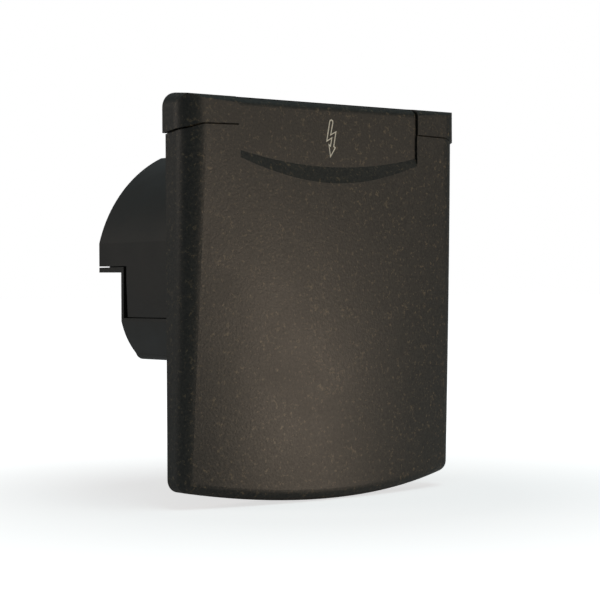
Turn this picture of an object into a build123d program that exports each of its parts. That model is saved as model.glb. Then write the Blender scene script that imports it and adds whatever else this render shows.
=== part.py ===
from build123d import *
from math import cos, radians, sin, sqrt
import os

# Millimetres. +Z is up and the front faces -Y. Y = 0 is the wall face, X = 0 the middle,
# Z = 0 the middle of the flap's straight sides. Negative Y stands in front of the wall.

# Overall form
EAR_WIDTH = 122.3          # across the two fixed ears beside the hinge
TOP_Z = 70.0               # top of the ears and of the tongue between them
TOP_RISE = 1.5             # the top is this much higher at the wall
FLAP_BOTTOM_Z = -61.5      # bottom corners of the flap
BOTTOM_BOW = 5.8           # how far the bottom edge hangs lower in the middle
DEPTH = 13.9               # how far the ears stand proud of the wall at their outer corners
LOW_DEPTH = 8.3            # the same at the bottom corners of the flap
SEAM_BULGE = 1.0           # extra depth in the middle, level with the ears' lower edge
BOTTOM_BULGE = 8.1         # extra depth in the middle of the bottom edge
BARREL_SHARE = 0.5         # 0 is a straight cone from seam to bottom, 1 a full barrel
FORM_SECTIONS = 6          # plan outlines that the flap's form is drawn through
PLAN_CORNER = 7.5          # rounding from the sides into the front, seen from above
LOW_CORNER = 5.0           # the same at the bottom
CROWN_SIDE_R = 5.3         # rounding of the ears' outer top corners, seen from the front
TOP_EDGE_R = 2.8           # rounding of the top front edge
BOTTOM_EDGE_R = 4.0        # rounding of the flap's bottom edge
FLAP_CORNER_R = 4.5        # rounding of the flap's bottom corners, seen from the front

# Flap
FLAP_INSET = 1.0           # the flap's sides lie this much inside the ears' sides
WALL_GAP = 0.4             # between the flap's rear edge and the wall
FLAP_WALL = 2.5
TONGUE_WIDTH = 79.0        # the part of the flap that rises between the ears
PANEL_SUNK = 0.3           # the tongue and the flat panel below it lie behind the ears' front
RECESS_END_Z = 52.4        # where the recess's lower arc meets its side walls
RECESS_MID_Z = 47.9        # lowest point of that arc
LEDGE_SLOPE = 3.0          # fall of the sloped ledge for each unit forward

# Hinge
HINGE_Y = -10.0
HINGE_Z = 65.1
PIN_R = 1.5
PIN_RUN = 0.05             # radial clearance of the flap on its pin
PIN_SEAT = 0.02            # radial clearance of the pin in the ears
PIN_BLIND = 9.0            # depth of the closed bore in the left ear
PIN_SPAN = 11.0            # how far the pin reaches into the right ear, open at the side
EAR_UNDER_R = 6.0          # ears' underside, round the hinge line
EAR_SLOPE = 0.13           # fall of that underside for each unit from the hinge to the wall
HINGE_GAP = 0.4            # between flap and frame round the hinge line and at the ears
KNUCKLE_R = 5.2            # back of the flap's knuckle
KNUCKLE_ROOM = 0.5         # between the knuckle and the bar behind it

# Spring
WIRE_R = 0.5
ARM_R = 0.44
COIL_GAP = 0.15            # between the pin and the turns, and round the turns
COIL_CREST = 0.22          # half width of a turn's flat crest
COIL_VALLEY = 0.3          # depth between two turns
COIL_TURNS = 9
TURN_PITCH = 1.0           # the turns press on each other
POCKET_HALF = 6.5
ARM_HOLE_GAP = 0.15
ARM_LUG_Z = (50.0, 54.0)
ARM_END_Z = 49.0
ARM_LUG_HALF = 2.5

# Frame
FLANGE_HALF = 57.1
FLANGE_BOTTOM_Z = -58.0
FLANGE_CORNER_R = 6.0
FLANGE_FRONT = -4.5
FLANGE_BACK = -1.5
CORE_WALL = 2.5
BAR_FRONT = -4.5           # front of the bar that joins the ears
WALL_SCREW_X = 50.0
WALL_SCREW_Z = 52.0
WALL_SCREW_R = 2.25
RIM_HEIGHT = 4.0           # how far the well's rim stands in front of the flange
RIM_WALL = 2.5
SEAL_DEPTH = 3.0           # rubber ring between the flap's boss and the well's rim
SEAL_LIP = 0.5             # how far the ring stands over the rim on either side

# Well and rear housing
WELL_Z = -3.0              # height of the plug's middle
WELL_R = 31.0
WELL_WALL = 2.0
CHAMBER_R = 21.5           # terminal chamber behind the well
CHAMBER_WALL = 2.5
HOUSING_HALF = 47.8
HOUSING_TOP_Z = 54.6
CROWN_R = 49.5             # large arc over the housing, seen from the front
CROWN_Z = 9.6              # middle of that arc
COVER_REAR = 61.6          # rear face of the terminal cover
COVER_WALL = 2.5
SEAM_Y = 43.4              # rear edge of the cover's sides below the ledge
SEAM_Z = -4.1              # lower edge of the cover's sides
SEAM_GAP = 0.4
TRAY_REAR = 46.9           # rear face of the housing below the ledge
TRAY_WALL = 1.6
TRAY_BOTTOM_Z = -19.4
TRAY_BEND = ((0.0, -5.6), (2.3, -11.7), (6.1, -17.2))     # inwards from the side, and height
TRAY_TOE = ((6.1, -17.2), (7.2, -18.7), (8.9, TRAY_BOTTOM_Z))
LEDGE_TOP_Z = 13.7
SEAM_LIP = 1.2             # lip inside the seam between the cover and the tray
LIP_RISE = 1.5             # how far it stands up behind the cover's edge
LIP_GAP = 0.2
LEDGE_THICK = 1.8
REAR_WALL = 2.2
PLATE_FRONT = -0.5
PLATE_BACK = 2.5
FACET_TOP_Z = 8.2          # upper end of the slanting facet on the cover's rear edge
FACET_FRONT_Y = 19.0       # front end of that facet on the lower edge
FACET_DEPTH = 0.5

# Plug insert
SHROUD_IN_R = 21.8
SHROUD_WALL = 2.5
SHROUD_FRONT = -3.0
KEY_WIDTH = 6.0
KEY_RISE = 2.0
SHELF_WIDTH = 4.4          # the well's step that the insert is screwed to
SHELF_Y = (39.5, 43.5)
SEAL_THICK = 1.0
BASE_THICK = 4.0
BASE_GAP = 0.4             # base disc inside the well
PIN_CIRCLE_R = 13.0
LIVE_R = 2.5
EARTH_R = 3.5
LIVE_LENGTH = 32.0
EARTH_LENGTH = 35.5
CLAMP_R = 4.2
CLAMP_LENGTH = 10.0
WIRE_BORE_R = 2.0

# Fasteners
SCREW_GAP = 0.05           # radial clearance of a screw in its thread
SCREW_PASS = 0.2           # radial clearance of a screw in a part that it holds down
HEAD_WIDE = 2.0            # head radius over shank radius
HEAD_TALL = 1.2            # head height over shank radius
HOUSING_SCREW_R = 1.5
HOUSING_SCREW_IN = (8.5, 9.5)    # upper and lower screws, inwards from the housing's sides
HOUSING_SCREW_Z = (20.0, -8.0)
INSERT_SCREW_R = 1.2
INSERT_HEAD_R = 2.0
HOUSING_BOSS_R = 3.6
HOUSING_BOSS = 10.0        # length of its bosses behind the plate
COVER_SCREW_R = 1.5
COVER_SCREW = (30.0, 36.0)
COVER_POST_R = 3.2
COVER_SCREW_DEPTH = 12.0
TIP_ROOM = 1.0             # drilled depth beyond a screw's tip
TERMINAL_SCREW_R = 1.45
CLAMP_SCREW_R = 1.25

# Cable entry, in the ledge's plate
ENTRY_IN = 11.6            # inwards from the housing's side
CABLE_R = 4.0
GROMMET_WALL = 0.7
GROMMET_LIP = 1.5
GROMMET_RISE = 0.4         # how far its two lips stand out round the hole
CLAMP_RISE = 5.8           # height of the cable clamp over the ledge
CLAMP_PITCH = 12.6         # between its two screws
CLAMP_STANDOFF = 7.6       # from the tray's rear face to the clamp bar
CLAMP_BAR = 2.5
STUD_R = 1.9

FLAP_HALF = EAR_WIDTH / 2 - FLAP_INSET
EAR_HALF = EAR_WIDTH / 2
TONGUE_HALF = TONGUE_WIDTH / 2
EAR_IN = TONGUE_HALF + HINGE_GAP
UNDER_Z = HINGE_Z - EAR_UNDER_R
EAR_LOW_Z = HINGE_Z - EAR_UNDER_R * sqrt(1 + EAR_SLOPE ** 2) + EAR_SLOPE * HINGE_Y
WRAP_R = EAR_UNDER_R + HINGE_GAP
PANEL_DEPTH = DEPTH - PANEL_SUNK
COIL_R = PIN_R + COIL_GAP + WIRE_R
COIL_POCKET_R = COIL_R + WIRE_R + COIL_GAP
SHROUD_OUT_R = SHROUD_IN_R + SHROUD_WALL
SHELF_IN_R = WELL_R - SHELF_WIDTH
INSERT_SCREW_CIRCLE = WELL_R - 2.4
HOUSING_SCREWS = tuple((HOUSING_HALF - x, z) for x, z in zip(HOUSING_SCREW_IN, HOUSING_SCREW_Z))
ENTRY_X = HOUSING_HALF - ENTRY_IN
CLAMP_Z = LEDGE_TOP_Z + CLAMP_RISE
CLAMP_SEAT_Y = TRAY_REAR + CLAMP_STANDOFF
BASE_REAR = SHELF_Y[0] - SEAL_THICK
BASE_Y = BASE_REAR - BASE_THICK
WELL_OUT_R = WELL_R + WELL_WALL
FAR = 200.0


def box(x0, x1, y0, y1, z0, z1):
    """Block between three pairs of faces."""
    middle = Pos((x0 + x1) / 2, (y0 + y1) / 2, (z0 + z1) / 2)
    return middle * Box(x1 - x0, y1 - y0, z1 - z0)


def rod_y(radius, y0, y1, x=0.0, z=0.0):
    """Rod along Y."""
    return Pos(x, (y0 + y1) / 2, z) * Rot(90, 0, 0) * Cylinder(radius, y1 - y0)


def rod_x(radius, x0, x1, y, z):
    """Rod along X."""
    return Pos((x0 + x1) / 2, y, z) * Rot(0, 90, 0) * Cylinder(radius, x1 - x0)


def rod_z(radius, z0, z1, x, y):
    """Rod along Z."""
    return Pos(x, y, (z0 + z1) / 2) * Cylinder(radius, z1 - z0)


def ring_y(inner, outer, y0, y1, x=0.0, z=WELL_Z):
    """Flat ring or tube along Y."""
    return rod_y(outer, y0, y1, x, z) - rod_y(inner, y0 - 1, y1 + 1, x, z)


def slab(sketch, y0, y1):
    """Front-view outline (x, z) with faces at y0 and y1."""
    return extrude(Plane.XZ.offset(-y1) * sketch, y1 - y0)


def profile_bar(sketch, x0, x1):
    """Side-view outline (y, z) with faces at x0 and x1."""
    return extrude(Plane.YZ.offset(x0) * sketch, x1 - x0)


def rect(x0, x1, y0, y1):
    """Flat rectangle between two pairs of sides."""
    return Pos((x0 + x1) / 2, (y0 + y1) / 2) * Rectangle(x1 - x0, y1 - y0)


def both_sides(solid):
    """The solid and its mirror image across the middle."""
    return solid + mirror(solid, Plane.YZ)


def plan(half, front, back, bulge, corner):
    """Plan outline: straight back and sides, bowed front, rounded front corners."""
    sides = Polyline((half, -front), (half, -back), (-half, -back), (-half, -front))
    bow = ThreePointArc((-half, -front), (0, -front - bulge), (half, -front))
    face = make_face(sides + bow)
    corners = [v for v in face.vertices() if v.Y < 0.01 - front]
    return fillet(corners, corner)


def form_share(z):
    """0 level with the ears' lower edge, 1 at the flap's bottom corners."""
    return (EAR_LOW_Z - z) / (EAR_LOW_Z - FLAP_BOTTOM_Z)


def form_plan(z, inset, back):
    """Plan outline of the flap's form at height z: shallower and more bowed lower down."""
    t = form_share(z)
    bulge = SEAM_BULGE + (BOTTOM_BULGE - SEAM_BULGE) * t * (1 + BARREL_SHARE * (1 - t))
    depth = DEPTH + (LOW_DEPTH - DEPTH) * t
    corner = PLAN_CORNER + (LOW_CORNER - PLAN_CORNER) * t
    return plan(FLAP_HALF - inset, depth - inset, back, bulge, corner - inset)


def flap_outline(inset, corner):
    """Front view of the flap: straight sides, bottom edge bowed downwards."""
    half = FLAP_HALF - inset
    low = FLAP_BOTTOM_Z + inset
    sides = Polyline((-half, low), (-half, HINGE_Z), (half, HINGE_Z), (half, low))
    bow = ThreePointArc((-half, low), (0, low - BOTTOM_BOW), (half, low))
    outline = make_face(sides + bow)
    ends = [v for v in outline.vertices() if v.Y < 0]
    return fillet(ends, corner) if corner else outline


def flap_form(inset, back):
    """Solid that fills the flap, with every face moved inwards by the inset."""
    low = FLAP_BOTTOM_Z - BOTTOM_BOW - BOTTOM_EDGE_R
    step = (HINGE_Z - low) / (FORM_SECTIONS - 1)
    levels = [low + step * number for number in range(FORM_SECTIONS)]
    form = loft([Pos(0, 0, z) * form_plan(z, inset, back) for z in levels])
    return form & slab(flap_outline(inset, 0), -FAR, FAR)


def recess_space(margin):
    """Space in front of the flat panel and above its sloped ledge.

    With a margin, the same space grown backwards, which leaves the panel's wall.
    """
    start_y = -PANEL_DEPTH + margin
    drop = margin * (sqrt(1 + LEDGE_SLOPE ** 2) - LEDGE_SLOPE)
    half = TONGUE_HALF + margin
    arc = ThreePointArc(
        (-half, RECESS_END_Z - drop), (0, RECESS_MID_Z - drop), (half, RECESS_END_Z - drop)
    )
    rest = Polyline((-half, RECESS_END_Z - drop), (-half, FAR), (half, FAR), (half, RECESS_END_Z - drop))
    face = Plane.XZ.offset(-start_y) * make_face(arc + rest)
    reach = 20.0
    return Solid.extrude(face.faces()[0], Vector(0, -reach, -reach * LEDGE_SLOPE))


def ear_line(radius):
    """Two points of the line that leaves a circle round the hinge line and falls to the wall."""
    down = radius / sqrt(1 + EAR_SLOPE ** 2)
    start = (HINGE_Y - down * EAR_SLOPE, HINGE_Z - down)
    return start, (FAR, start[1] - EAR_SLOPE * (FAR - start[0]))


def ear_room():
    """Space that the flap leaves free for the ears, with the running gap."""
    start, end = ear_line(WRAP_R)
    side = Pos(HINGE_Y, HINGE_Z) * Circle(WRAP_R)
    side += make_face(Polyline(start, end, (FAR, FAR), (start[0], FAR), close=True))
    side += rect(-FAR, FAR, HINGE_Z, FAR)
    return both_sides(profile_bar(side, TONGUE_HALF, FAR))


def tongue():
    """The flap's top between the ears: flat front, rounded top edge, round knuckle behind."""
    rise = TOP_Z - HINGE_Z
    back_y = HINGE_Y + sqrt(KNUCKLE_R ** 2 - rise ** 2)
    foot_z = HINGE_Z - KNUCKLE_R
    front_y = -PANEL_DEPTH
    inner_y = front_y + FLAP_WALL
    edges = Polyline((inner_y, foot_z - 3), (front_y, foot_z - 3), (front_y, TOP_Z), (back_y, TOP_Z))
    knuckle = ThreePointArc((back_y, TOP_Z), (HINGE_Y + KNUCKLE_R, HINGE_Z), (HINGE_Y, foot_z))
    web = Line((HINGE_Y, foot_z), (inner_y, foot_z - 3))
    side = make_face(edges + knuckle + web)
    front_top = [v for v in side.vertices() if v.X < front_y + 0.01 and v.Y > TOP_Z - 0.01]
    return profile_bar(fillet(front_top, TOP_EDGE_R), -TONGUE_HALF, TONGUE_HALF)


def spring_pocket():
    """Room for the coil and its fixed arm, open to the back and the bottom."""
    pocket = rod_x(COIL_POCKET_R, -POCKET_HALF, POCKET_HALF, HINGE_Y, HINGE_Z)
    pocket += box(-POCKET_HALF, POCKET_HALF, HINGE_Y, 0, ARM_END_Z, HINGE_Z + COIL_POCKET_R)
    pocket += box(-POCKET_HALF, POCKET_HALF, HINGE_Y - COIL_POCKET_R, 0, ARM_END_Z, HINGE_Z)
    arm_x = arm_place()
    arm_half = WIRE_R + 0.5
    pocket += box(arm_x - arm_half, arm_x + arm_half, HINGE_Y + 1, 0, HINGE_Z, TOP_Z + 1)
    return pocket


def arm_place():
    """Distance of each spring arm from the middle."""
    return (COIL_TURNS - 1) / 2 * TURN_PITCH


def arm_lug(x, arm_y, y0, y1):
    """Lug with a hole that holds one arm of the spring."""
    lug = box(x - ARM_LUG_HALF, x + ARM_LUG_HALF, y0, y1, *ARM_LUG_Z)
    hole = rod_z(WIRE_R + ARM_HOLE_GAP, ARM_END_Z - 0.5, HINGE_Z, x, arm_y)
    return lug, hole


def cover_flap():
    """Hinged cover: a thin shell with a bowed front, a recess and a knuckle at the top."""
    outer = flap_form(0, WALL_GAP)
    bottom = [e for e in outer.edges() if e.center().Z < FLAP_BOTTOM_Z + 1 and e.center().Y < -1]
    outer = fillet(bottom, BOTTOM_EDGE_R) & slab(flap_outline(0, FLAP_CORNER_R), -FAR, FAR)
    inner = flap_form(FLAP_WALL, -5)
    below = box(-FAR, FAR, -FAR, FAR, -FAR, HINGE_Z - KNUCKLE_R)
    backing = recess_space(FLAP_WALL) & outer
    shell = (outer - inner) + backing
    shell -= recess_space(0)
    shell -= ear_room()
    middle = box(-TONGUE_HALF, TONGUE_HALF, -FAR, FAR, -FAR, FAR)
    shell = (shell - middle) + (shell & middle & below)
    flap = shell + tongue()
    flap -= spring_pocket()
    front = HINGE_Y - COIL_POCKET_R
    lug, hole = arm_lug(-arm_place(), HINGE_Y - COIL_R, front - 0.4, front + 2.2)
    flap += lug
    flap -= hole
    seat = FLANGE_FRONT - RIM_HEIGHT - SEAL_DEPTH
    boss = ring_y(WELL_R, WELL_R + RIM_WALL, -FAR, seat) & outer
    flap += boss - recess_space(0)
    return flap - rod_x(PIN_R + PIN_RUN, -FAR, FAR, HINGE_Y, HINGE_Z)


def flap_seal():
    """Rubber ring on the flap's boss that presses on the well's rim."""
    rim = FLANGE_FRONT - RIM_HEIGHT
    return ring_y(WELL_R - SEAL_LIP, WELL_R + RIM_WALL + SEAL_LIP, rim - SEAL_DEPTH, rim)


def crown():
    """Ears and bar as one block, rounded in plan, in front view and along the top front edge."""
    high = TOP_Z + TOP_RISE
    base = plan(EAR_HALF, DEPTH, 0, SEAM_BULGE, PLAN_CORNER)
    block = extrude(Pos(0, 0, EAR_LOW_Z) * base, high - EAR_LOW_Z)
    front = rect(-EAR_HALF, EAR_HALF, 0, high)
    block &= slab(fillet([v for v in front.vertices() if v.Y > 1], CROWN_SIDE_R), -FAR, FAR)
    deep = DEPTH + SEAM_BULGE * (1 - (TONGUE_HALF / EAR_HALF) ** 2)
    side = make_face(Polyline((0, 0), (0, high), (-deep, TOP_Z), (-deep, 0), close=True))
    edge = [v for v in side.vertices() if v.X < 0.01 - deep and v.Y > 1]
    return block & profile_bar(fillet(edge, TOP_EDGE_R), -FAR, FAR)


def ear_underside():
    """Space cut from the ears so that the flap's top edge can turn round them."""
    start, end = ear_line(EAR_UNDER_R)
    side = make_face(Polyline((-FAR, -FAR), (FAR, -FAR), end, start, (start[0], HINGE_Z),
                              (-FAR, HINGE_Z), close=True))
    side -= Pos(HINGE_Y, HINGE_Z) * Circle(EAR_UNDER_R)
    return profile_bar(side, -FAR, FAR)


def knuckle_room():
    """Space between the ears for the flap's knuckle."""
    side = Pos(HINGE_Y, HINGE_Z) * Circle(KNUCKLE_R + KNUCKLE_ROOM)
    side += rect(-FAR, BAR_FRONT, 0, HINGE_Z)
    side += rect(-FAR, HINGE_Y, HINGE_Z, FAR)
    return profile_bar(side, -EAR_IN, EAR_IN)


def crown_cores():
    """Hollows moulded into the crown from behind."""
    low = EAR_LOW_Z + CORE_WALL
    high = TOP_Z - CORE_WALL - 0.5
    bar_back = HINGE_Y + KNUCKLE_R + KNUCKLE_ROOM + CORE_WALL
    ear_back = HINGE_Y + PIN_R + CORE_WALL
    cores = box(CORE_WALL / 2, EAR_IN - CORE_WALL, bar_back, 1, low, high)
    cores += box(EAR_IN + CORE_WALL, EAR_HALF - 1.5 * CORE_WALL, ear_back, 1, low, high)
    return both_sides(cores)


def flange_outline(inset, top):
    """Front view of the flange that lies on the wall, below the ears."""
    half = FLANGE_HALF - inset
    face = rect(-half, half, FLANGE_BOTTOM_Z + inset, top)
    low = [v for v in face.vertices() if v.Y < 0]
    return fillet(low, FLANGE_CORNER_R)


def wall_screw_places():
    """Middles of the four wall screws."""
    return [(x, z) for x in (-WALL_SCREW_X, WALL_SCREW_X) for z in (-WALL_SCREW_Z, WALL_SCREW_Z)]


def housing_screw_places():
    """Middles of the four screws that hold the rear housing."""
    return [(side * x, z) for x, z in HOUSING_SCREWS for side in (-1, 1)]


def base_frame():
    """Fixed frame: flange with the well's rim, and the crown with its two ears."""
    top = crown() - ear_underside() - knuckle_room() - crown_cores()
    flange = slab(flange_outline(0, UNDER_Z), FLANGE_FRONT, FLANGE_BACK)
    flange += box(-EAR_IN, EAR_IN, FLANGE_FRONT, FLANGE_BACK, UNDER_Z - 1, UNDER_Z + CORE_WALL)
    frame = top + flange
    frame += rod_y(WELL_R + RIM_WALL, FLANGE_FRONT - RIM_HEIGHT, FLANGE_BACK, 0, WELL_Z)
    lug, hole = arm_lug(arm_place(), HINGE_Y + COIL_R, HINGE_Y + COIL_R - 2, FLANGE_BACK)
    frame += lug
    frame -= hole
    frame -= rod_y(WELL_R, -FAR, FAR, 0, WELL_Z)
    for x, z in wall_screw_places():
        frame -= rod_y(WALL_SCREW_R, -FAR, FAR, x, z)
    for x, z in housing_screw_places():
        frame -= rod_y(HOUSING_SCREW_R + SCREW_PASS, -FAR, FAR, x, z)
    bore_end = EAR_IN + PIN_BLIND
    return frame - rod_x(PIN_R + PIN_SEAT, -bore_end, FAR, HINGE_Y, HINGE_Z)


def hinge_pin():
    """Steel pin, closed in by the left ear and pushed in from the right."""
    left = -(EAR_IN + PIN_BLIND) + 0.2
    pin = rod_x(PIN_R, left, EAR_IN + PIN_SPAN, HINGE_Y, HINGE_Z)
    return chamfer(pin.edges(), 0.4)


def hinge_spring():
    """Torsion spring: closed turns round the pin, one arm to the flap and one to the frame."""
    arm = arm_place()
    crest = COIL_R + WIRE_R
    end = arm + TURN_PITCH / 2
    points = [(-end, COIL_R - WIRE_R), (-end, crest - COIL_VALLEY)]
    for turn in range(COIL_TURNS):
        x = -arm + TURN_PITCH * turn
        points += [(x - COIL_CREST, crest), (x + COIL_CREST, crest)]
        points += [(x + TURN_PITCH / 2, crest - COIL_VALLEY)]
    points += [(end, COIL_R - WIRE_R)]
    coil = revolve(make_face(Polyline(*points, close=True)), Axis.X)
    coil = Pos(0, HINGE_Y, HINGE_Z) * coil
    coil += rod_z(ARM_R, ARM_END_Z, HINGE_Z, -arm, HINGE_Y - COIL_R)
    coil += rod_z(ARM_R, ARM_END_Z, HINGE_Z, arm, HINGE_Y + COIL_R)
    return coil


def cover_screw_places():
    """Middles of the two screws that hold the terminal cover."""
    return [(side * COVER_SCREW[0], COVER_SCREW[1]) for side in (-1, 1)]


def crown_arch(inset):
    """Front view of the housing's upper part: a large arc cut by flats."""
    half = HOUSING_HALF - inset
    arch = Pos(0, CROWN_Z) * Circle(CROWN_R - inset)
    tall = rect(-half, half, SEAM_Z, HOUSING_TOP_Z - inset)
    low = rect(-half, half, SEAM_Z, CROWN_Z)
    return (arch & tall) + low


def tray_outline(inset):
    """Front view of the housing's lower part, up to the ledge."""
    half = HOUSING_HALF
    bend = ThreePointArc(*[(half - inwards, z) for inwards, z in TRAY_BEND])
    toe = ThreePointArc(*[(half - inwards, z) for inwards, z in TRAY_TOE])
    foot = half - TRAY_TOE[-1][0]
    right = bend + toe + Line((half, LEDGE_TOP_Z), (half, TRAY_BEND[0][1]))
    left = mirror(right, Plane.YZ)
    base = Line((foot, TRAY_BOTTOM_Z), (-foot, TRAY_BOTTOM_Z))
    top = Line((half, LEDGE_TOP_Z), (-half, LEDGE_TOP_Z))
    outline = make_face(right + left + base + top)
    return offset(outline, -inset) if inset else outline


def rear_housing():
    """Moulded rear body: well barrel, front plate, tray, ledge and screw posts."""
    below_seam = box(-FAR, FAR, PLATE_FRONT, TRAY_REAR, -FAR, SEAM_Z - SEAM_GAP)
    plate = slab(crown_arch(COVER_WALL + 0.5), PLATE_FRONT, PLATE_BACK)
    body = plate + (slab(tray_outline(0), PLATE_FRONT, PLATE_BACK) & below_seam)
    skin = slab(tray_outline(0), PLATE_FRONT, TRAY_REAR) - slab(tray_outline(TRAY_WALL), -FAR, FAR)
    body += skin & below_seam
    body += slab(tray_outline(0), TRAY_REAR - TRAY_WALL, TRAY_REAR)
    body += box(-HOUSING_HALF, HOUSING_HALF, TRAY_REAR - TRAY_WALL, COVER_REAR,
                LEDGE_TOP_Z - LEDGE_THICK, LEDGE_TOP_Z)
    rear_part = box(-FAR, FAR, TRAY_REAR - 1, COVER_REAR, -FAR, LEDGE_TOP_Z)
    body += rod_y(WELL_OUT_R, PLATE_FRONT, TRAY_REAR, 0, WELL_Z)
    body += rod_y(CHAMBER_R + CHAMBER_WALL, TRAY_REAR - 1, COVER_REAR, 0, WELL_Z) & rear_part
    body += both_sides(seam_lip())
    for x, z in housing_screw_places():
        body += rod_y(HOUSING_BOSS_R, PLATE_BACK - 1, PLATE_BACK + HOUSING_BOSS, x, z)
    for x, z in cover_screw_places():
        body += rod_y(COVER_POST_R, PLATE_BACK - 1, COVER_REAR - COVER_WALL, x, z)
    body += clamp_seat()
    body -= rod_y(WELL_R, -FAR, SHELF_Y[0], 0, WELL_Z)
    body -= rod_y(SHELF_IN_R, 0, SHELF_Y[1], 0, WELL_Z)
    body -= rod_y(CHAMBER_R, 0, COVER_REAR - REAR_WALL, 0, WELL_Z)
    for x, z in housing_screw_places():
        body -= rod_y(HOUSING_SCREW_R + SCREW_GAP, -FAR, PLATE_BACK + HOUSING_BOSS - 1, x, z)
    for x, z in cover_screw_places():
        body -= rod_y(COVER_SCREW_R + SCREW_GAP, COVER_REAR - COVER_SCREW_DEPTH - TIP_ROOM, FAR, x, z)
    for x, z in insert_screw_places():
        body -= rod_y(INSERT_SCREW_R + SCREW_GAP, SHELF_Y[0] - 1, SHELF_Y[1], x, z)
    body -= rod_z(CABLE_R + GROMMET_WALL, 0, LEDGE_TOP_Z + 1, ENTRY_X, entry_y())
    for x in clamp_screw_places():
        body -= rod_y(CLAMP_SCREW_R + SCREW_GAP, TRAY_REAR, FAR, x, CLAMP_Z)
    return body


def seam_lip():
    """Lip that closes the seam behind the cover's right edges, from the plate round to the rear."""
    outer = HOUSING_HALF - COVER_WALL - LIP_GAP
    inner = outer - SEAM_LIP
    low = SEAM_Z - SEAM_GAP
    rear = COVER_REAR - COVER_WALL - LIP_GAP
    top = LEDGE_TOP_Z + LIP_RISE
    lip = box(inner, outer, PLATE_BACK, TRAY_REAR - TRAY_WALL, low - LIP_RISE, SEAM_Z + LIP_RISE)
    lip += box(inner, HOUSING_HALF - TRAY_WALL / 2, PLATE_BACK, TRAY_REAR - TRAY_WALL, low - LIP_RISE, low)
    lip += box(inner, outer, SEAM_Y - LIP_RISE, TRAY_REAR, low - LIP_RISE, top)
    lip += box(inner, outer, TRAY_REAR - TRAY_WALL, rear, LEDGE_TOP_Z - 1, top)
    return lip + box(0, outer, rear - SEAM_LIP, rear, LEDGE_TOP_Z - 1, top)


def entry_y():
    """The cable enters close behind the tray's rear face."""
    return TRAY_REAR + CABLE_R + GROMMET_WALL + GROMMET_RISE + LIP_GAP


def clamp_screw_places():
    """The two clamp screws, left and right of the cable."""
    return (ENTRY_X - CLAMP_PITCH / 2, ENTRY_X + CLAMP_PITCH / 2)


def clamp_seat():
    """Upright web above the ledge with two studs for the cable clamp."""
    x0, x1 = clamp_screw_places()
    seat = box(x0 - STUD_R, x1 + STUD_R, TRAY_REAR - TRAY_WALL, TRAY_REAR, LEDGE_TOP_Z - 1, CLAMP_Z + 3)
    for x in (x0, x1):
        seat += rod_y(STUD_R, TRAY_REAR - 1, CLAMP_SEAT_Y, x, CLAMP_Z)
    return seat


def facet_cut():
    """Shallow slanting facet at the lower rear corner of the cover's left side."""
    top = Vector(-HOUSING_HALF, SEAM_Y, FACET_TOP_Z)
    front = Vector(-HOUSING_HALF, FACET_FRONT_Y, SEAM_Z)
    corner = Vector(-HOUSING_HALF + FACET_DEPTH, SEAM_Y, SEAM_Z)
    normal = (top - front).cross(corner - front)
    if normal.X > 0:
        normal = -normal
    face = Plane(origin=front, x_dir=top - front, z_dir=normal)
    cut = face * Pos(0, 0, 10) * Box(80, 80, 20)
    return cut & box(-FAR, 0, 0, SEAM_Y + 0.1, SEAM_Z - 1, FACET_TOP_Z + 1)


def terminal_cover():
    """Rear cover over the terminals: arched shell with a stepped lower edge."""
    outer = slab(crown_arch(0), FLANGE_BACK + 0.2, COVER_REAR)
    inner = slab(crown_arch(COVER_WALL), -FAR, COVER_REAR - COVER_WALL)
    inner += box(-HOUSING_HALF + COVER_WALL, HOUSING_HALF - COVER_WALL, -FAR,
                 COVER_REAR - COVER_WALL, SEAM_Z - 1, CROWN_Z)
    shell = outer - inner
    shell -= box(-FAR, FAR, SEAM_Y, FAR, -FAR, LEDGE_TOP_Z + SEAM_GAP)
    shell -= both_sides(facet_cut())
    for x, z in cover_screw_places():
        shell -= rod_y(COVER_SCREW_R + SCREW_PASS, 0, FAR, x, z)
    return shell


def insert_screw_places():
    """Middles of the four screws that hold the plug insert."""
    reach = INSERT_SCREW_CIRCLE / sqrt(2)
    return [(sx * reach, WELL_Z + sz * reach) for sx in (-1, 1) for sz in (-1, 1)]


def pin_places():
    """Middles of the line, neutral and earth pins, with the direction out from the middle."""
    places = []
    for angle in (30, 150, 270):
        out = (cos(radians(angle)), sin(radians(angle)))
        places.append((PIN_CIRCLE_R * out[0], WELL_Z + PIN_CIRCLE_R * out[1], out))
    return places


def plug_insert():
    """Plug insert: round shroud with its key, on a base disc that carries the pins."""
    insert = ring_y(SHROUD_IN_R, SHROUD_OUT_R, SHROUD_FRONT, BASE_Y + 1)
    rim = [e for e in insert.edges() if e.center().Y < SHROUD_FRONT + 0.1]
    insert = fillet(rim, 0.8)
    key_z = WELL_Z - SHROUD_OUT_R
    insert += box(-KEY_WIDTH / 2, KEY_WIDTH / 2, SHROUD_FRONT + 2, BASE_Y + 1, key_z - KEY_RISE, key_z + 1)
    insert += rod_y(WELL_R - BASE_GAP, BASE_Y, BASE_REAR, 0, WELL_Z)
    for x, z, out in pin_places():
        insert += rod_y(CLAMP_R + 1.5, BASE_Y - 3, BASE_Y + 1, x, z)
    radii = (LIVE_R, LIVE_R, EARTH_R)
    for (x, z, out), radius in zip(pin_places(), radii):
        insert -= rod_y(radius + PIN_SEAT, 0, FAR, x, z)
    for x, z in insert_screw_places():
        insert -= rod_y(INSERT_SCREW_R + SCREW_PASS, BASE_Y - 1, FAR, x, z)
    return insert


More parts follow.
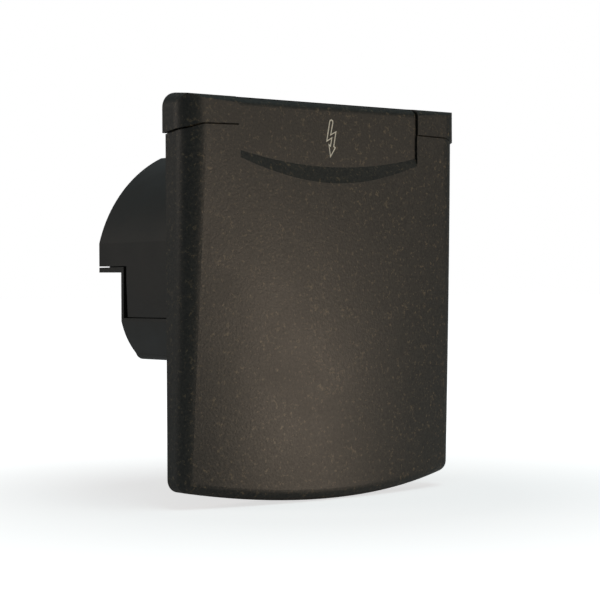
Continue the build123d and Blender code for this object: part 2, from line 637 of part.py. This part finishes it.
def contact_pin(number, radius, length):
    """Turned brass pin with a screw clamp for the wire at its rear end."""
    x, z, out = pin_places()[number]
    tip = BASE_Y - length
    pin = rod_y(radius, tip, BASE_REAR, x, z)
    tip_edge = [e for e in pin.edges() if e.center().Y < tip + 0.1]
    pin = fillet(tip_edge, radius * 0.45)
    pin += rod_y(CLAMP_R, BASE_REAR, BASE_REAR + CLAMP_LENGTH, x, z)
    pin -= rod_y(WIRE_BORE_R, BASE_REAR + 1.5, FAR, x, z)
    return pin - radial_rod(number, TERMINAL_SCREW_R + SCREW_GAP, 0, CLAMP_R + 1)


def radial_rod(number, radius, start, end):
    """Rod that leads outwards from one pin, square to it, at its clamp."""
    x, z, out = pin_places()[number]
    y = BASE_REAR + CLAMP_LENGTH * 0.6
    middle = (start + end) / 2
    place = Plane(origin=(x + out[0] * middle, y, z + out[1] * middle), z_dir=(out[0], 0, out[1]))
    return place * Cylinder(radius, end - start)


def terminal_screws():
    """One clamping screw for each pin."""
    screws = []
    for number in range(3):
        screw = radial_rod(number, TERMINAL_SCREW_R, 0.8, CLAMP_R + 1)
        screws.append(screw + radial_rod(number, 2.4, CLAMP_R + 0.8, CLAMP_R + 2.6))
    return Compound(children=screws)


def screw_y(radius, under_head, tip, x, z, head_r=None):
    """Pan-head screw along Y: the tip is the end of its thread."""
    way = 1 if tip > under_head else -1
    shank = rod_y(radius, min(under_head, tip), max(under_head, tip), x, z)
    outer = under_head - way * HEAD_TALL * radius
    wide = head_r or HEAD_WIDE * radius
    return shank + rod_y(wide, min(under_head, outer), max(under_head, outer), x, z)


def housing_screws():
    """Four screws that hold the rear housing to the frame from the front."""
    tip = PLATE_BACK + HOUSING_BOSS - 1 - TIP_ROOM
    return Compound(children=[
        screw_y(HOUSING_SCREW_R, FLANGE_FRONT, tip, x, z) for x, z in housing_screw_places()
    ])


def insert_screws():
    """Four screws that hold the plug insert from the front, round its shroud."""
    return Compound(children=[
        screw_y(INSERT_SCREW_R, BASE_Y, SHELF_Y[1] - TIP_ROOM, x, z, INSERT_HEAD_R)
        for x, z in insert_screw_places()
    ])


def cover_screws():
    """Two screws that hold the terminal cover from behind."""
    return Compound(children=[
        screw_y(COVER_SCREW_R, COVER_REAR, COVER_REAR - COVER_SCREW_DEPTH, x, z)
        for x, z in cover_screw_places()
    ])


def clamp_screws():
    """Two screws that hold the cable clamp."""
    under = CLAMP_SEAT_Y + CLAMP_BAR
    return Compound(children=[
        screw_y(CLAMP_SCREW_R, under, TRAY_REAR + 0.5, x, CLAMP_Z, STUD_R) for x in clamp_screw_places()
    ])


def cable_clamp():
    """Flat bar that grips the cable's sheath."""
    x0, x1 = clamp_screw_places()
    bar = box(x0 - STUD_R, x1 + STUD_R, CLAMP_SEAT_Y, CLAMP_SEAT_Y + CLAMP_BAR, CLAMP_Z - 3, CLAMP_Z + 3)
    for x in (x0, x1):
        bar -= rod_y(CLAMP_SCREW_R + SCREW_PASS, 0, FAR, x, CLAMP_Z)
    return bar


def cable_grommet():
    """Rubber grommet in the ledge, where the supply cable comes up."""
    low = LEDGE_TOP_Z - LEDGE_THICK
    outer = CABLE_R + GROMMET_WALL
    grommet = rod_z(outer, low - GROMMET_LIP, LEDGE_TOP_Z + GROMMET_LIP, ENTRY_X, entry_y())
    grommet += rod_z(outer + GROMMET_RISE, low - GROMMET_LIP, low, ENTRY_X, entry_y())
    grommet += rod_z(outer + GROMMET_RISE, LEDGE_TOP_Z, LEDGE_TOP_Z + GROMMET_LIP, ENTRY_X, entry_y())
    return grommet - rod_z(CABLE_R, 0, FAR, ENTRY_X, entry_y())


def insert_seal():
    """Flat rubber ring between the plug insert and the well's shelf."""
    seal = ring_y(SHELF_IN_R + 0.3, WELL_R - BASE_GAP, BASE_REAR, SHELF_Y[0])
    for x, z in insert_screw_places():
        seal -= rod_y(INSERT_SCREW_R + SCREW_PASS, 0, FAR, x, z)
    return seal


def housing_gasket():
    """Flat rubber ring between the flange and the rear housing."""
    return ring_y(WELL_R + 0.2, WELL_R + 5, FLANGE_BACK, PLATE_FRONT)


def wall_gasket():
    """Foam sheet between the flange and the wall, cut out for the rear housing."""
    sheet = slab(flange_outline(0.5, EAR_LOW_Z - 0.5), FLANGE_BACK, 0)
    hole = crown_arch(-1) + tray_outline(-1) + Pos(0, WELL_Z) * Circle(WELL_OUT_R + 4)
    sheet -= slab(hole, -FAR, FAR)
    for x, z in wall_screw_places():
        sheet -= rod_y(WALL_SCREW_R, -FAR, FAR, x, z)
    return sheet


def parts():
    """Every sub-part by its name."""
    return {
        "base_frame": base_frame(),
        "cover_flap": cover_flap(),
        "hinge_pin": hinge_pin(),
        "hinge_spring": hinge_spring(),
        "flap_seal": flap_seal(),
        "wall_gasket": wall_gasket(),
        "housing_gasket": housing_gasket(),
        "rear_housing": rear_housing(),
        "terminal_cover": terminal_cover(),
        "plug_insert": plug_insert(),
        "insert_seal": insert_seal(),
        "line_pin": contact_pin(0, LIVE_R, LIVE_LENGTH),
        "neutral_pin": contact_pin(1, LIVE_R, LIVE_LENGTH),
        "earth_pin": contact_pin(2, EARTH_R, EARTH_LENGTH),
        "terminal_screws": terminal_screws(),
        "insert_screws": insert_screws(),
        "housing_screws": housing_screws(),
        "cover_screws": cover_screws(),
        "cable_grommet": cable_grommet(),
        "cable_clamp": cable_clamp(),
        "clamp_screws": clamp_screws(),
    }


os.makedirs("parts", exist_ok=True)
for name, solid in parts().items():
    export_step(solid, f"parts/{name}.step")
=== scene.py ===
import math

import bmesh
import bpy
import numpy as np
from mathutils import Matrix, Vector


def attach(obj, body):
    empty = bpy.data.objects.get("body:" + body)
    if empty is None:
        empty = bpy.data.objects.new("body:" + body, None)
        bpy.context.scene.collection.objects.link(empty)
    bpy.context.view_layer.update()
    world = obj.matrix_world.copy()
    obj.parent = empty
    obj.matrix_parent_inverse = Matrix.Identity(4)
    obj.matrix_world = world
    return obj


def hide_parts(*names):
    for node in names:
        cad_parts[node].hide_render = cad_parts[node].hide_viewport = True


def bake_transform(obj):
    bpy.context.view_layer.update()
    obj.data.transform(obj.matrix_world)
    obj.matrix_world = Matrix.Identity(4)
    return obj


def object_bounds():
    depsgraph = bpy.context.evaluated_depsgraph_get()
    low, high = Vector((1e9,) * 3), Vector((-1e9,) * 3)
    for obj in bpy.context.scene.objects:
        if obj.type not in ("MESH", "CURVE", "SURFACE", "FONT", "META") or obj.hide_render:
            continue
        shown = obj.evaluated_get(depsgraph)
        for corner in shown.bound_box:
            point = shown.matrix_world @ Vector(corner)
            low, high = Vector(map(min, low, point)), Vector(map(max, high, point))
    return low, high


# The inlet as it comes from the moulds and off the assembly bench: each section below is
# one piece or a group of like pieces. Metres, +Z up, the front faces -Y, the wall is Y = 0.
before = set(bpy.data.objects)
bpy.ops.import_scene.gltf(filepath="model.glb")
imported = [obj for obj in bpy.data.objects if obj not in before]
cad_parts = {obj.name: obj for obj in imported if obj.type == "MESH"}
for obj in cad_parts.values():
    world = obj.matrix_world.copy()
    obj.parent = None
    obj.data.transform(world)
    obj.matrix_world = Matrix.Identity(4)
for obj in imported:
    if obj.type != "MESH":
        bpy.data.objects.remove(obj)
cad_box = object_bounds()
bpy.context.scene.view_settings.view_transform = "Standard"


# Base frame
# The fixed frame with the two ears: impact-modified ABS, injection moulded in a spark-eroded
# tool, screwed to the wall. The same plastic and the same texture make the cover flap.
def linear(code):
    """An sRGB hex colour as linear RGBA: the standard sRGB curve undone for each channel."""
    channels = [int(code[i:i + 2], 16) / 255 for i in (1, 3, 5)]
    return tuple(c / 12.92 if c <= 0.04045 else ((c + 0.055) / 1.055) ** 2.4 for c in channels) + (1.0,)


def add(tree, kind, inputs=None, **settings):
    """A node with its settings; each input is given a value or linked to another node's socket."""
    node = tree.nodes.new("ShaderNode" + kind)
    for name, value in settings.items():
        setattr(node, name, value)
    for name, value in (inputs or {}).items():
        if isinstance(value, bpy.types.NodeSocket):
            tree.links.new(value, node.inputs[name])
        else:
            node.inputs[name].default_value = value
    return node


def finish_named(name):
    """A new node material, its node tree and the Object coordinates in it."""
    material = bpy.data.materials.new(name)
    material.use_nodes = True
    tree = material.node_tree
    tree.nodes.clear()
    place = add(tree, "TexCoord").outputs["Object"]
    return material, tree, place


def paint_node(name, material):
    """The CAD node keeps its mesh and takes this material in every slot."""
    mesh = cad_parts[name].data
    mesh.materials.clear()
    mesh.materials.append(material)


# Spark-eroded ABS: the eroded tool leaves a dull skin of rounded pits about half a millimetre
# across. The light on their rims is painted into the colour as a fine warm speckle, a painted highlight over
# a dark brown-black ground.
GRAIN_MM = 0.85
RIM_GLINT_MM = 1.7 * GRAIN_MM
CLOUD_MM = 22.0
eroded_abs, tree, place = finish_named("spark_eroded_abs")
pits = add(tree, "TexNoise", {"Vector": place, "Scale": 1000 / GRAIN_MM, "Detail": 2.0, "Roughness": 0.55})
rim_glints = add(tree, "TexNoise", {"Vector": place, "Scale": 1000 / RIM_GLINT_MM, "Detail": 3.0, "Roughness": 0.7})
cloud = add(tree, "TexNoise", {"Vector": place, "Scale": 1000 / CLOUD_MM, "Detail": 2.0})
ground = add(tree, "MapRange", {"Value": pits.outputs["Fac"], "From Min": 0.30, "From Max": 0.72})
tone = add(tree, "Mix", {"Factor": ground.outputs["Result"], "A": linear("#111210"), "B": linear("#32302B")},
           data_type="RGBA")
# Painted highlight: this warm speckle stands in for light on the pits' rims.
rim = add(tree, "MapRange", {"Value": rim_glints.outputs["Fac"], "From Min": 0.57, "From Max": 0.72,
                             "To Min": 0.0, "To Max": 0.6})
lit = add(tree, "Mix", {"Factor": rim.outputs["Result"], "A": tone.outputs["Result"], "B": linear("#7D6F58")},
          data_type="RGBA")
dull = add(tree, "MapRange", {"Value": cloud.outputs["Fac"], "From Min": 0.35, "From Max": 0.65,
                              "To Min": 0.40, "To Max": 0.45})
bump = add(tree, "Bump", {"Height": pits.outputs["Fac"], "Strength": 0.45, "Distance": 0.00014})
shader = add(tree, "BsdfPrincipled", {"Base Color": lit.outputs["Result"],
                                      "Roughness": dull.outputs["Result"], "IOR": 1.52,
                                      "Normal": bump.outputs["Normal"]})
add(tree, "OutputMaterial", {"Surface": shader.outputs["BSDF"]})
paint_node("base_frame", eroded_abs)


# Rear housing and terminal cover
# The body behind the wall and the cover over its terminals: smooth glass-filled polyamide
# from a tool that was only ground, so it is sleeker than the front and nearly black.
satin_pa, tree, place = finish_named("ground_tool_polyamide")
swirl = add(tree, "TexNoise", {"Vector": place, "Scale": 1000 / 9.0, "Detail": 3.0, "Distortion": 0.4})
fine = add(tree, "TexNoise", {"Vector": place, "Scale": 1000 / 0.9, "Detail": 2.0})
tone = add(tree, "Mix", {"Factor": swirl.outputs["Fac"], "A": linear("#23211E"), "B": linear("#2F2B27")},
           data_type="RGBA")
dull = add(tree, "MapRange", {"Value": swirl.outputs["Fac"], "From Min": 0.3, "From Max": 0.7,
                              "To Min": 0.36, "To Max": 0.46})
bump = add(tree, "Bump", {"Height": fine.outputs["Fac"], "Strength": 0.12, "Distance": 0.00005})
shader = add(tree, "BsdfPrincipled", {"Base Color": tone.outputs["Result"],
                                      "Roughness": dull.outputs["Result"], "IOR": 1.53,
                                      "Normal": bump.outputs["Normal"]})
add(tree, "OutputMaterial", {"Surface": shader.outputs["BSDF"]})
for name in ("rear_housing", "terminal_cover", "cable_clamp"):
    paint_node(name, satin_pa)


# Gaskets and seals
# The foam sheet against the wall is die-cut from closed-cell neoprene; the other seals and
# the cable grommet are moulded EPDM rubber, dull and black.
foam, tree, place = finish_named("closed_cell_neoprene")
cells = add(tree, "TexVoronoi", {"Vector": place, "Scale": 1000 / 0.8})
tone = add(tree, "Mix", {"Factor": cells.outputs["Distance"], "A": linear("#232323"), "B": linear("#343434")},
           data_type="RGBA")
bump = add(tree, "Bump", {"Height": cells.outputs["Distance"], "Strength": 0.6, "Distance": 0.0002})
shader = add(tree, "BsdfPrincipled", {"Base Color": tone.outputs["Result"], "Roughness": 0.85,
                                      "IOR": 1.5, "Normal": bump.outputs["Normal"]})
add(tree, "OutputMaterial", {"Surface": shader.outputs["BSDF"]})
paint_node("wall_gasket", foam)

rubber, tree, place = finish_named("moulded_epdm_rubber")
bloom = add(tree, "TexNoise", {"Vector": place, "Scale": 1000 / 5.0, "Detail": 4.0})
tone = add(tree, "Mix", {"Factor": bloom.outputs["Fac"], "A": linear("#171717"), "B": linear("#262625")},
           data_type="RGBA")
shader = add(tree, "BsdfPrincipled", {"Base Color": tone.outputs["Result"], "Roughness": 0.68, "IOR": 1.52})
add(tree, "OutputMaterial", {"Surface": shader.outputs["BSDF"]})
for name in ("housing_gasket", "insert_seal", "flap_seal", "cable_grommet"):
    paint_node(name, rubber)


# Plug insert and its pins
# The insert is blue polyamide, the colour for this voltage, with a faint moulding texture;
# its three pins are turned from brass bar, so fine rings run round them.
blue_pa, tree, place = finish_named("blue_polyamide")
fine = add(tree, "TexNoise", {"Vector": place, "Scale": 1000 / 0.7, "Detail": 2.0})
tone = add(tree, "Mix", {"Factor": fine.outputs["Fac"], "A": linear("#14306F"), "B": linear("#1E4390")},
           data_type="RGBA")
bump = add(tree, "Bump", {"Height": fine.outputs["Fac"], "Strength": 0.15, "Distance": 0.00005})
shader = add(tree, "BsdfPrincipled", {"Base Color": tone.outputs["Result"], "Roughness": 0.42,
                                      "IOR": 1.53, "Normal": bump.outputs["Normal"]})
add(tree, "OutputMaterial", {"Surface": shader.outputs["BSDF"]})
paint_node("plug_insert", blue_pa)

brass, tree, place = finish_named("turned_brass")
rings = add(tree, "TexWave", {"Vector": place, "Scale": 1000 / 0.5, "Distortion": 0.3},
            wave_type="BANDS", bands_direction="Y")
tarnish = add(tree, "TexNoise", {"Vector": place, "Scale": 1000 / 4.0, "Detail": 3.0})
tone = add(tree, "Mix", {"Factor": tarnish.outputs["Fac"], "A": linear("#B8954F"), "B": linear("#D9BC78")},
           data_type="RGBA")
bump = add(tree, "Bump", {"Height": rings.outputs["Fac"], "Strength": 0.25, "Distance": 0.00003})
shader = add(tree, "BsdfPrincipled", {"Base Color": tone.outputs["Result"], "Roughness": 0.28,
                                      "Metallic": 1.0, "Normal": bump.outputs["Normal"]})
add(tree, "OutputMaterial", {"Surface": shader.outputs["BSDF"]})
for name in ("line_pin", "neutral_pin", "earth_pin"):
    paint_node(name, brass)


# Screws
# Pan-head screws of zinc-plated steel with a faint bluish passivation: cold-headed with a
# cross recess, the thread rolled. Those of the terminals are out of sight and stay plain.
zinc, tree, place = finish_named("zinc_plated_steel")
grain = add(tree, "TexNoise", {"Vector": place, "Scale": 1000 / 0.6, "Detail": 3.0})
tone = add(tree, "Mix", {"Factor": grain.outputs["Fac"], "A": linear("#A9AFB3"), "B": linear("#C9CCCB")},
           data_type="RGBA")
shader = add(tree, "BsdfPrincipled", {"Base Color": tone.outputs["Result"], "Roughness": 0.34,
                                      "Metallic": 1.0})
add(tree, "OutputMaterial", {"Surface": shader.outputs["BSDF"]})
paint_node("terminal_screws", zinc)

THREAD_PITCH = 0.7
THREAD_DEPTH = 0.2
THREAD_STEPS = 6           # rings of points to a turn of the thread
NECK = 0.1                 # plain shank below the head
TIP = 0.1                  # tip radius over shank radius
HEAD_TALL = 1.2            # head height over shank radius
HEAD_ROUND = 0.35          # share of its height by which the crown falls towards its rim
CROSS_DEPTH = 0.6          # depth of the recess over the head's height
CROSS_HALF = 0.15          # half width of the recess's arms over the head's radius
CROSS_REACH = 0.58         # their reach over the head's radius
CROSS_WALL = 0.08          # run of their sloping walls over the head's radius
AROUND = 72                # points in a ring


def add_skin(shape, rows):
    """Closed rings of points in mm join the shape as one skin, its two ends shut."""
    stations, around = rows.shape[:2]
    i, j = np.meshgrid(np.arange(stations - 1), np.arange(around), indexing="ij")
    k = (j + 1) % around
    quads = np.stack([i * around + j, i * around + k, (i + 1) * around + k, (i + 1) * around + j], -1)
    ends = [list(range(around)), list(range((stations - 1) * around, stations * around))]
    points = [shape.verts.new(point) for point in rows.reshape(-1, 3) / 1000]
    for face in quads.reshape(-1, 4).tolist() + ends:
        shape.faces.new([points[number] for number in face])


def smooth_piece(name, skins, material):
    """One object of several skins, their faces turned outwards and shaded smooth."""
    shape = bmesh.new()
    for rows in skins:
        add_skin(shape, rows)
    bmesh.ops.recalc_face_normals(shape, faces=shape.faces)
    mesh = bpy.data.meshes.new(name)
    shape.to_mesh(mesh)
    shape.free()
    mesh.materials.append(material)
    mesh.shade_smooth()
    piece = bpy.data.objects.new(name, mesh)
    bpy.context.scene.collection.objects.link(piece)
    return piece


def recess(across, along):
    """1 inside one arm of the cross and 0 outside it, with a sloping wall between."""
    inside = np.clip((CROSS_HALF - across) / CROSS_WALL + 0.5, 0, 1)
    return inside * np.clip((CROSS_REACH - along) / CROSS_WALL + 0.5, 0, 1)


def pan_head_screws(node, places, seat, way, shank_r, head_r, length):
    """Screws along Y at these (x, z). Rings run from the crown's middle over its rim to the seat
    and down the shank, where radius = shank_r - depth (1 + cos(2 pi along / pitch - angle)) / 2.
    way is 1 where the shank runs to +Y."""
    angle = np.linspace(0, 2 * math.pi, AROUND, endpoint=False)
    crown = head_r * np.linspace(0.02, 1, 18)[:, None] + 0 * angle
    a = abs(crown * np.cos(angle)) / head_r
    b = abs(crown * np.sin(angle)) / head_r
    tall = HEAD_TALL * shank_r
    dome = -tall * (1 - HEAD_ROUND * (crown / head_r) ** 2)
    sunk = CROSS_DEPTH * tall * np.maximum(recess(a, b), recess(b, a))
    along = np.arange(NECK, length - shank_r, THREAD_PITCH / THREAD_STEPS)[:, None] + 0 * angle
    wave = 0.5 + 0.5 * np.cos(2 * math.pi * along / THREAD_PITCH - angle)
    ring = np.ones((1, AROUND))
    radius = np.concatenate([crown, head_r * ring, shank_r * ring, shank_r - THREAD_DEPTH * wave,
                             TIP * shank_r * ring])
    depth = np.concatenate([dome + sunk, 0 * ring, 0 * ring, along, length * ring])
    skins = [np.stack([x + radius * np.cos(angle), seat + way * depth, z + radius * np.sin(angle)], -1)
             for x, z in places]
    screws = smooth_piece(node + "_threaded", skins, zinc)
    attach(screws, "inlet")
    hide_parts(node)


pan_head_screws("housing_screws", [(-39.3, 20.0), (39.3, 20.0), (-38.3, -8.0), (38.3, -8.0)],
                seat=-4.5, way=1, shank_r=1.5, head_r=3.0, length=15.0)
pan_head_screws("insert_screws", [(x, z) for x in (-20.22, 20.22) for z in (17.22, -23.22)],
                seat=34.5, way=1, shank_r=1.2, head_r=2.0, length=8.0)
pan_head_screws("cover_screws", [(-30.0, 36.0), (30.0, 36.0)],
                seat=61.6, way=-1, shank_r=1.5, head_r=3.0, length=12.0)
pan_head_screws("clamp_screws", [(29.9, 19.5), (42.5, 19.5)],
                seat=57.0, way=-1, shank_r=1.25, head_r=1.9, length=9.6)


# Hinge pin and spring
# The flap turns on a pin of drawn stainless steel. A spring wound from the same wire closes it:
# one arm hangs in the flap's lug and the other in the frame's, and its turns wind up between.
drawn_steel, tree, place = finish_named("drawn_stainless_steel")
lines = add(tree, "TexNoise", {"Vector": place, "Scale": 1000 / 0.3, "Detail": 2.0})
tone = add(tree, "Mix", {"Factor": lines.outputs["Fac"], "A": linear("#A8A6A2"), "B": linear("#C4C2BE")},
           data_type="RGBA")
shader = add(tree, "BsdfPrincipled", {"Base Color": tone.outputs["Result"], "Roughness": 0.25,
                                      "Metallic": 1.0})
add(tree, "OutputMaterial", {"Surface": shader.outputs["BSDF"]})
paint_node("hinge_pin", drawn_steel)

TURNS = 8.5
COIL_R = 2.15              # middle of the wire
WIRE_R = 0.46
ARM_X = 4.0                # distance of each arm from the middle
ARM_END_Z = 49.0
HINGE_Y = -10.0
HINGE_Z = 65.1

along = np.linspace(0, 1, 240)
turned = math.pi * (1 - 2 * TURNS * along)
coil = np.stack([ARM_X * (2 * along - 1), HINGE_Y + COIL_R * np.cos(turned),
                 HINGE_Z + COIL_R * np.sin(turned)], 1)
rise = np.linspace(ARM_END_Z, HINGE_Z - 0.1, 20)
flap_arm = np.stack([0 * rise - ARM_X, 0 * rise + HINGE_Y - COIL_R, rise], 1)
frame_arm = np.stack([0 * rise + ARM_X, 0 * rise + HINGE_Y + COIL_R, rise[::-1]], 1)
wire = np.concatenate([flap_arm, coil, frame_arm])
ahead = np.gradient(wire, axis=0)
ahead /= np.linalg.norm(ahead, axis=1, keepdims=True)
aside = np.array([1.0, 0, 0]) - ahead * ahead[:, :1]
aside /= np.linalg.norm(aside, axis=1, keepdims=True)
ring = np.linspace(0, 2 * math.pi, 14, endpoint=False)[None, :, None]
rings = wire[:, None] + WIRE_R * (np.cos(ring) * aside[:, None]
                                  + np.sin(ring) * np.cross(ahead, aside)[:, None])
spring = smooth_piece("wound_spring", [rings], drawn_steel)
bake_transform(spring)
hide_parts("hinge_spring")


# Cover flap and its sign
# The flap comes from the same kind of tool as the frame. The voltage sign on its panel is a
# bent arrow in outline, pad-printed in cream ink.
paint_node("cover_flap", eroded_abs)

SIGN_MM = np.array([(0.26, 64.37), (-0.32, 63.97), (-0.51, 63.36), (-1.79, 56.88), (0.50, 58.11),
                    (-0.17, 55.21), (-0.83, 55.67), (-0.16, 51.56), (2.00, 54.72), (1.30, 55.18),
                    (2.33, 60.28), (-0.05, 59.15), (0.98, 63.36), (0.91, 63.98)])
STROKE_MM = 0.44
INK_MM = 0.03              # how far the ink stands out
INK_GAP_MM = 0.003         # between its back and the panel
PANEL_Y_MM = -13.6


def outline_band(corners, width):
    """Closed band of even width along a closed line: each corner moves both ways along the mitre
    of its two sides, by half the width over the cosine of half the turn, at most twice that."""
    ahead = np.roll(corners, -1, axis=0) - corners
    ahead /= np.linalg.norm(ahead, axis=1, keepdims=True)
    behind = np.roll(ahead, 1, axis=0)
    normal = np.stack([-ahead[:, 1], ahead[:, 0]], 1)
    before = np.stack([-behind[:, 1], behind[:, 0]], 1)
    mitre = normal + before
    mitre /= np.linalg.norm(mitre, axis=1, keepdims=True)
    reach = width / 2 / np.maximum((mitre * normal).sum(1, keepdims=True), 0.5)
    return corners - mitre * reach, corners + mitre * reach


inner, outer = outline_band(SIGN_MM, STROKE_MM)
n = len(SIGN_MM)
flat = np.concatenate([inner, outer])
front = np.stack([flat[:, 0], np.full(2 * n, PANEL_Y_MM - INK_MM), flat[:, 1]], 1)
back = front + (0, INK_MM - INK_GAP_MM, 0)
points = np.concatenate([front, back]) / 1000
i = np.arange(n)
j = (i + 1) % n
faces = np.concatenate([
    np.stack([i, j, n + j, n + i], 1),
    np.stack([2 * n + i, 3 * n + i, 3 * n + j, 2 * n + j], 1),
    np.stack([i, 2 * n + i, 2 * n + j, j], 1),
    np.stack([n + i, n + j, 3 * n + j, 3 * n + i], 1),
])
mesh = bpy.data.meshes.new("voltage_sign")
mesh.from_pydata(points.tolist(), [], faces.tolist())
sign = bpy.data.objects.new("voltage_sign", mesh)
bpy.context.scene.collection.objects.link(sign)
ink, tree, place = finish_named("pad_print_ink")
worn = add(tree, "TexNoise", {"Vector": place, "Scale": 1000 / 0.5, "Detail": 2.0})
tone = add(tree, "Mix", {"Factor": worn.outputs["Fac"], "A": linear("#D8D3C4"), "B": linear("#F0ECE0")},
           data_type="RGBA")
shader = add(tree, "BsdfPrincipled", {"Base Color": tone.outputs["Result"], "Roughness": 0.5, "IOR": 1.5})
add(tree, "OutputMaterial", {"Surface": shader.outputs["BSDF"]})
mesh.materials.append(ink)
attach(sign, "flap")


# Floor, light and camera
# A white sweep under the inlet, which stands on its flap's lower edge: a warm key lamp at the
# right and a small low one, a cool ceiling, a window behind at the left, and the camera at
# the photograph's viewing angle. Sheen sees little of the white, as in a room left dark.
FLOOR_HALF = 9.0
FLOOR_Z = cad_box[0].z - 0.0002
GLOSS_SHARE = 0.07         # share of the white that reflected rays see
SHADE_FROM = 0.10          # metres from the middle, within which the floor's lift is lowest
SHADE_TO = 0.26            # beyond this the floor is white
floor_mesh = bpy.data.meshes.new("floor")
corners = [(x * FLOOR_HALF, y * FLOOR_HALF, FLOOR_Z) for x, y in ((-1, -1), (1, -1), (1, 1), (-1, 1))]
floor_mesh.from_pydata(corners, [], [(0, 1, 2, 3)])
floor = bpy.data.objects.new("floor", floor_mesh)
bpy.context.scene.collection.objects.link(floor)
floor.visible_shadow = False


def sight_of_white(tree):
    """1 for rays from the camera or through glass, GLOSS_SHARE for reflected ones, else 0."""
    path = add(tree, "LightPath")
    sheen = add(tree, "Math", {0: path.outputs["Is Glossy Ray"], 1: GLOSS_SHARE}, operation="MULTIPLY")
    straight = add(tree, "Math", {0: path.outputs["Is Camera Ray"], 1: path.outputs["Is Transmission Ray"]},
                   operation="MAXIMUM")
    return add(tree, "Math", {0: straight.outputs[0], 1: sheen.outputs[0]}, operation="MAXIMUM").outputs[0]


paper, tree, place = finish_named("white_paper_sweep")
seen = sight_of_white(tree)
far = add(tree, "VectorMath", {0: place}, operation="LENGTH")
level = add(tree, "MapRange", {"Value": far.outputs["Value"], "From Min": SHADE_FROM, "From Max": SHADE_TO,
                               "To Min": 0.67, "To Max": 0.98})
lift = add(tree, "Math", {0: seen, 1: level.outputs["Result"]}, operation="MULTIPLY")
matt = add(tree, "BsdfDiffuse", {"Color": linear("#F6ECEC")})
glow = add(tree, "Emission", {"Color": (1, 1, 1, 1), "Strength": lift.outputs[0]})
both = add(tree, "AddShader", {0: matt.outputs[0], 1: glow.outputs[0]})
add(tree, "OutputMaterial", {"Surface": both.outputs[0]})
floor_mesh.materials.append(paper)

world = bpy.data.worlds.new("studio")
bpy.context.scene.world = world
world.use_nodes = True
tree = world.node_tree
tree.nodes.clear()
seen = sight_of_white(tree)
soft = add(tree, "Background", {"Color": linear("#C8DEE2"), "Strength": 0.13})
white = add(tree, "Background", {"Color": (1, 1, 1, 1), "Strength": 1.0})
both = add(tree, "MixShader", {0: seen, 1: soft.outputs[0], 2: white.outputs[0]})
add(tree, "OutputWorld", {"Surface": both.outputs[0]})


def lamp(name, place, aim, size, power, colour):
    """Square area lamp that faces its aim."""
    light = bpy.data.lights.new(name, "AREA")
    light.shape = "SQUARE"
    light.size = size
    light.energy = power
    light.color = linear(colour)[:3]
    holder = bpy.data.objects.new(name, light)
    holder.location = place
    holder.rotation_euler = (Vector(aim) - Vector(place)).to_track_quat("-Z", "Y").to_euler()
    bpy.context.scene.collection.objects.link(holder)


lamp("key", (0.55, -0.98, 0.22), (0, 0, -0.03), 0.5, 0.62, "#FFE6CC")
lamp("low", (0.24, -0.46, -0.10), (0, 0, -0.03), 0.16, 0.75, "#FFE6CC")
lamp("ceiling", (0.1, -0.5, 1.2), (0, 0, 0), 0.9, 3.4, "#D0F0F2")
lamp("window", (-0.9, 0.6, 0.35), (0, 0, 0), 0.5, 1.3, "#FFF0E2")

FOCAL_PX = 1798.0
PICTURE_PX = 600
SENSOR_MM = 36
AZIMUTH = math.radians(38.12)
ELEVATION = math.radians(0.45)
ROLL = math.radians(-0.29)
REACH = 0.6342
TARGET = Vector((-0.00327, 0.0, 0.00171))
forward = Vector((math.sin(AZIMUTH) * math.cos(ELEVATION), math.cos(AZIMUTH) * math.cos(ELEVATION),
                  -math.sin(ELEVATION)))
right = Vector((math.cos(AZIMUTH), -math.sin(AZIMUTH), 0))
up = right.cross(forward)
side = right * math.cos(ROLL) + up * math.sin(ROLL)
top = up * math.cos(ROLL) - right * math.sin(ROLL)
camera = bpy.data.cameras.new("camera")
camera.lens = FOCAL_PX * SENSOR_MM / PICTURE_PX
camera.clip_start = 0.01
holder = bpy.data.objects.new("camera", camera)
holder.matrix_world = Matrix.Translation(TARGET - forward * REACH) @ Matrix(
    (side, top, -forward)).transposed().to_4x4()
bpy.context.scene.collection.objects.link(holder)
bpy.context.scene.camera = holder
